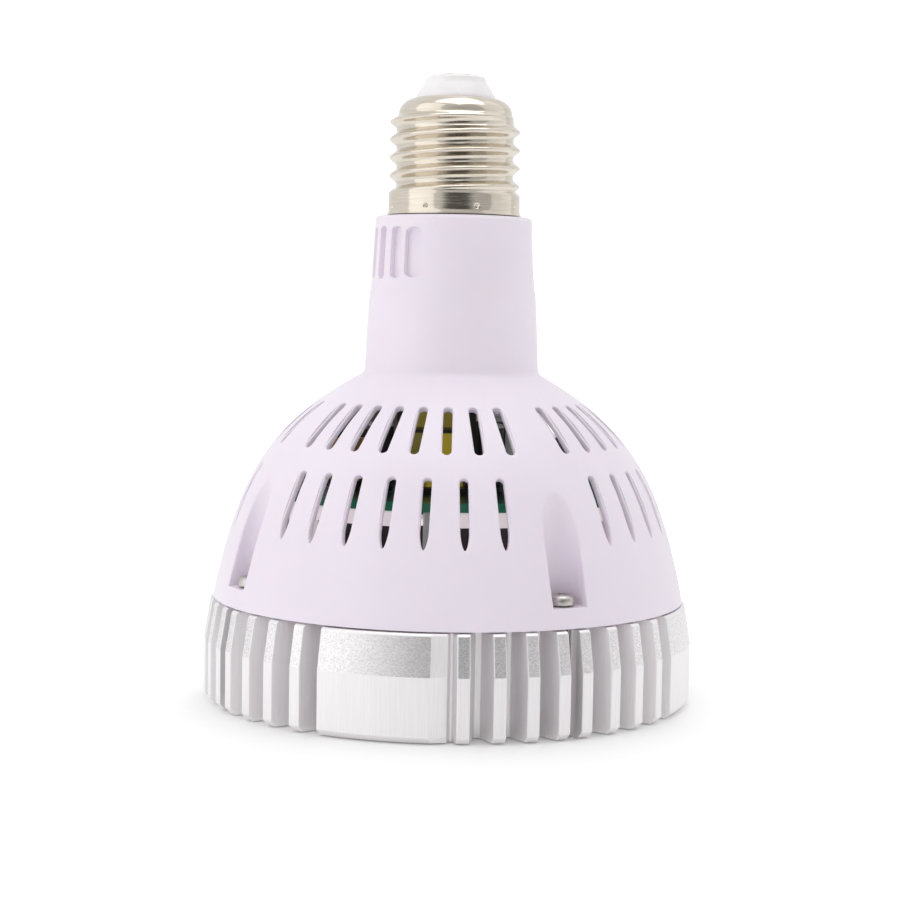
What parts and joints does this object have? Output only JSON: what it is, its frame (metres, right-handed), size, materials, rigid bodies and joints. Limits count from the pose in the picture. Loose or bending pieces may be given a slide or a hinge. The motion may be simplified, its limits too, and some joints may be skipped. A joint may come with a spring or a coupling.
{
  "type": "grow light bulb",
  "caption": "Fan-cooled LED grow light bulb with an E27 screw cap, a slotted white dome over its driver board, a finned aluminium heat sink and a clear lens plate in front.",
  "frame": {"origin": "centre of the heat sink's front rim, on the surface the lamp stands on", "axes": "+Z along the lamp's axis towards the screw cap; -Y is the side the picture looks at, with a pad of the heat sink 16 degrees towards -X"},
  "size_m": [0.099, 0.099, 0.1253],
  "materials": {
    "cap_metal": "bright nickel plate, slightly warm",
    "cap_white": "glossy white moulding",
    "white_moulding": "fine satin, white with a faint lilac tint",
    "aluminium": "bright extruded faces, turned taper at the top of the fins",
    "screw_steel": "plated steel",
    "clear_lens": "clear polished plastic",
    "light_board_white": "white solder mask on aluminium",
    "light_yellow": "phosphor under clear silicone",
    "board_green": "green solder mask",
    "tape_yellow": "yellow polyester tape",
    "ferrite": "dark grey ferrite",
    "black_plastic": "satin black moulding",
    "capacitor_sleeve": "black shrink sleeve",
    "film_grey": "light grey case",
    "copper": "enamelled copper wire",
    "bracket_white": "white moulding",
    "fuse_brown": "brown body",
    "red_silicone": "red silicone sleeve",
    "blue_silicone": "blue silicone sleeve",
    "sleeve_grey": "grey sleeve"
  },
  "bodies": {
    "lamp": {"screw_shell": "cap_metal", "centre_contact": "cap_metal", "cap_insulator": "cap_white", "housing": "white_moulding", "heatsink": "aluminium", "housing_screw_1": "screw_steel", "housing_screw_2": "screw_steel", "housing_screw_3": "screw_steel", "housing_screw_4": "screw_steel", "lens_screw_1": "screw_steel", "lens_screw_2": "screw_steel", "lens_screw_3": "screw_steel", "lens_screw_4": "screw_steel", "board_screw_1": "screw_steel", "board_screw_2": "screw_steel", "board_screw_3": "screw_steel", "board_screw_4": "screw_steel", "fan_screw_1": "screw_steel", "fan_screw_2": "screw_steel", "fan_screw_3": "screw_steel", "fan_screw_4": "screw_steel", "lens_plate": "clear_lens", "light_board": "light_board_white", "light_01": "light_yellow", "light_02": "light_yellow", "light_03": "light_yellow", "light_04": "light_yellow", "light_05": "light_yellow", "light_06": "light_yellow", "light_07": "light_yellow", "light_08": "light_yellow", "light_09": "light_yellow", "light_10": "light_yellow", "light_11": "light_yellow", "light_12": "light_yellow", "driver_board": "board_green", "transformer_winding": "tape_yellow", "transformer_core": "ferrite", "choke_core": "ferrite", "transformer_bobbin": "black_plastic", "bridge_rectifier": "black_plastic", "fan_frame": "black_plastic", "input_capacitor_left": "capacitor_sleeve", "input_capacitor_right": "capacitor_sleeve", "output_capacitor": "capacitor_sleeve", "film_capacitor": "film_grey", "choke_winding": "copper", "fan_stator": "copper", "fan_bracket": "bracket_white", "fuse": "fuse_brown", "contact_lead": "red_silicone", "fan_lead": "red_silicone", "shell_lead": "blue_silicone", "light_lead": "sleeve_grey"},
    "fan": {"fan_rotor": "black_plastic"}
  },
  "joints": [
    {"name": "fan_spin", "type": "hinge", "parent": "lamp", "child": "fan", "pos_m": [0, 0, 0.0307], "axis": [0, 0, 1], "continuous": true}
  ]
}
